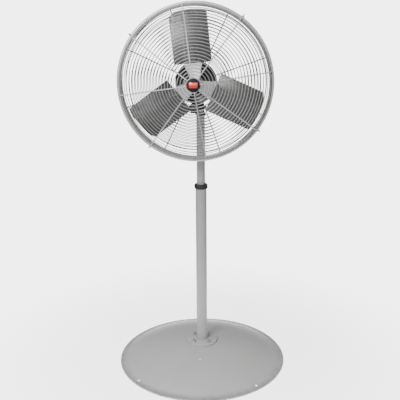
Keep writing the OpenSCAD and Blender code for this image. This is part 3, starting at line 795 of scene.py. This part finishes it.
rear_rings = []
for k in range(REAR_RINGS):
    radius = REAR_FIRST_R + k * (REAR_LAST_R - REAR_FIRST_R) / (REAR_RINGS - 1)
    rear_rings.append((radius, rear_at(radius)))
rear_spoke = [(0.068, REAR_HUB)] + [(PLATE_R, REAR_HUB)] + [
    (radius, rear_at(radius) - LIFT) for radius in (PLATE_R + 0.08, KNEE_R, REAR_LAST_R)
] + [(BEAD_PITCH_R, RIM_BACK - BEAD_R - SPOKE_R + WELD_SINK)]
REAR_TURN = math.radians(19.2)
guard_half("rear", rear_rings, shaded_rear_ring_lacquer, rear_spoke, shaded_rear_spoke_lacquer, REAR_TURN, -1)

# ---- Rim ----
# A rolled steel band with a bead along each edge, to which both halves of the guard are
# welded. Four short screws with clamp plates hold the halves together.

rim_lacquer = lacquer("rim_lacquer", 0.50, 0.62)
soften("rim_band", rim_lacquer)
soften("rim_clamps", rim_lacquer, 0.0004)
keep(zinc, "clamp_screws", "clamp_nuts")

# ---- Front guard ----
# Rings on a shallow cone with a rounded shoulder at the rim, spot-welded behind eight spokes that run from
# the badge to the rim. The spokes and the centre plate take a lighter copy of the guard's lacquer, a painted
# highlight of the top light.

badge_lo, badge_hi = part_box("badge_disc")
BADGE_R = (badge_hi.x - badge_lo.x) / 2
CONE_FRONT = -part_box("front_guard_rings")[0].y - RING_R
CONE_FIRST_R, CONE_LAST_R = BADGE_R + 0.0008, BEAD_PITCH_R - 0.0592
SHOULDER_FRONT, SHOULDER_RINGS = RIM_FRONT + 0.032, 7
CONE_RINGS = round((CONE_LAST_R - CONE_FIRST_R) / RING_PITCH) + 1


def cone_at(radius):
    return CONE_FRONT - (radius - CONE_FIRST_R) * (CONE_FRONT - SHOULDER_FRONT) / (CONE_LAST_R - CONE_FIRST_R)


def shoulder_at(k, lift=0.0):
    a = math.pi / 2 * k / (SHOULDER_RINGS + 1)
    return (CONE_LAST_R + (BEAD_PITCH_R - CONE_LAST_R - 0.004) * math.sin(a) + lift * math.sin(a),
            RIM_FRONT + 0.007 + (SHOULDER_FRONT - RIM_FRONT - 0.007) * math.cos(a) + lift * math.cos(a))


front_rings = []
for k in range(CONE_RINGS):
    radius = CONE_FIRST_R + k * (CONE_LAST_R - CONE_FIRST_R) / (CONE_RINGS - 1)
    front_rings.append((radius, cone_at(radius)))
front_rings += [shoulder_at(k) for k in range(1, SHOULDER_RINGS + 1)]
front_spoke = [(BADGE_R + 0.0003, cone_at(BADGE_R + 0.0003) + LIFT)] + [
    (radius, cone_at(radius) + LIFT) for radius in (CONE_LAST_R * 0.4, CONE_LAST_R * 0.8)
] + [shoulder_at(k, LIFT) for k in (0, 2, 4, 6)] + [(BEAD_PITCH_R, RIM_FRONT + BEAD_R + SPOKE_R - WELD_SINK)]
# The spokes' lacquer is lighter than the rings': painted light, as if the top light fell on them.
lit_front_spoke_lacquer = lacquer("lit_front_spoke_lacquer", 0.46, 0.58)
front_ring_lacquer = lacquer("front_ring_lacquer", 0.30, 0.38, 0.6)
FRONT_TURN = math.radians(8.5)
guard_half("front", front_rings, front_ring_lacquer, front_spoke, lit_front_spoke_lacquer, FRONT_TURN, 1)
keep(lit_front_spoke_lacquer, "centre_plate")

# ---- Badge ----
# A moulded black cap clipped into the middle of the front guard, with a plain red plate whose upper half is
# painted paler as a painted sheen.


def badge_looks(place):
    fine = grain(place, 0.0012, 2.0)
    wipe = grain(place, 0.015, 3.0, (4, 1, 1))
    return {
        "Base Color": tinted(fine, grey(0.004), grey(0.008)),
        "Roughness": fine * 0.08 + wipe * 0.12 + 0.42,
        "relief": fine,
    }


badge_black = finish("badge_black", {"Specular IOR Level": 0.25}, badge_looks, 0.00003)
soften("badge_disc", badge_black, 0.0004)


def red_looks(place):
    # The upper half of the plate is painted paler: a painted sheen of light on its glossy face.
    height = part_of(place, "Z") - AXIS_Z
    upper = ramped(height, -0.001, 0.002)
    flake = grain(place, 0.0006, 2.0)
    red = tinted(flake, (0.62, 0.02, 0.015, 1), (0.75, 0.035, 0.02, 1))
    return {
        "Base Color": tinted(upper, red, (0.80, 0.16, 0.13, 1)),
        "Roughness": flake * 0.15 + 0.22,
        "relief": flake,
    }


soften("badge_plate", finish("badge_enamel", {"Coat Weight": 0.5}, red_looks, 0.00003), 0.0003)
